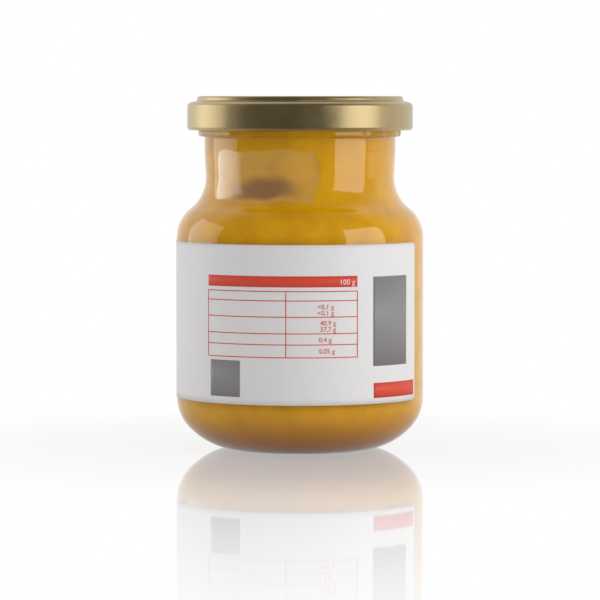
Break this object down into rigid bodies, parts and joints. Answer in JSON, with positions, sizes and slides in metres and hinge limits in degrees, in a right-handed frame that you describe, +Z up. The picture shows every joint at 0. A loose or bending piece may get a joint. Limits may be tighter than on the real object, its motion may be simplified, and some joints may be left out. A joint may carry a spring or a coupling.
{
  "type": "marmalade jar",
  "caption": "Rounded glass jar of orange marmalade with a gold twist-off lid and a white paper label wrapped round its body.",
  "frame": {"origin": "centre of the ring that the jar stands on, on the jar's axis", "axes": "+Z up along the jar's axis, -Y towards the printed panel of the label, +X towards the gap between the label's ends"},
  "size_m": [0.0735, 0.0736, 0.1047],
  "materials": {
    "glass": "clear moulded flint glass, gloss",
    "lid": "satin gold lacquer on tinplate",
    "marmalade": "wet, smooth, slightly translucent fruit preserve",
    "label": "smooth coated white paper, semi-matt"
  },
  "bodies": {
    "root": {"jar": "glass", "lid": "lid", "marmalade": "marmalade", "label": "label"}
  },
  "joints": []
}
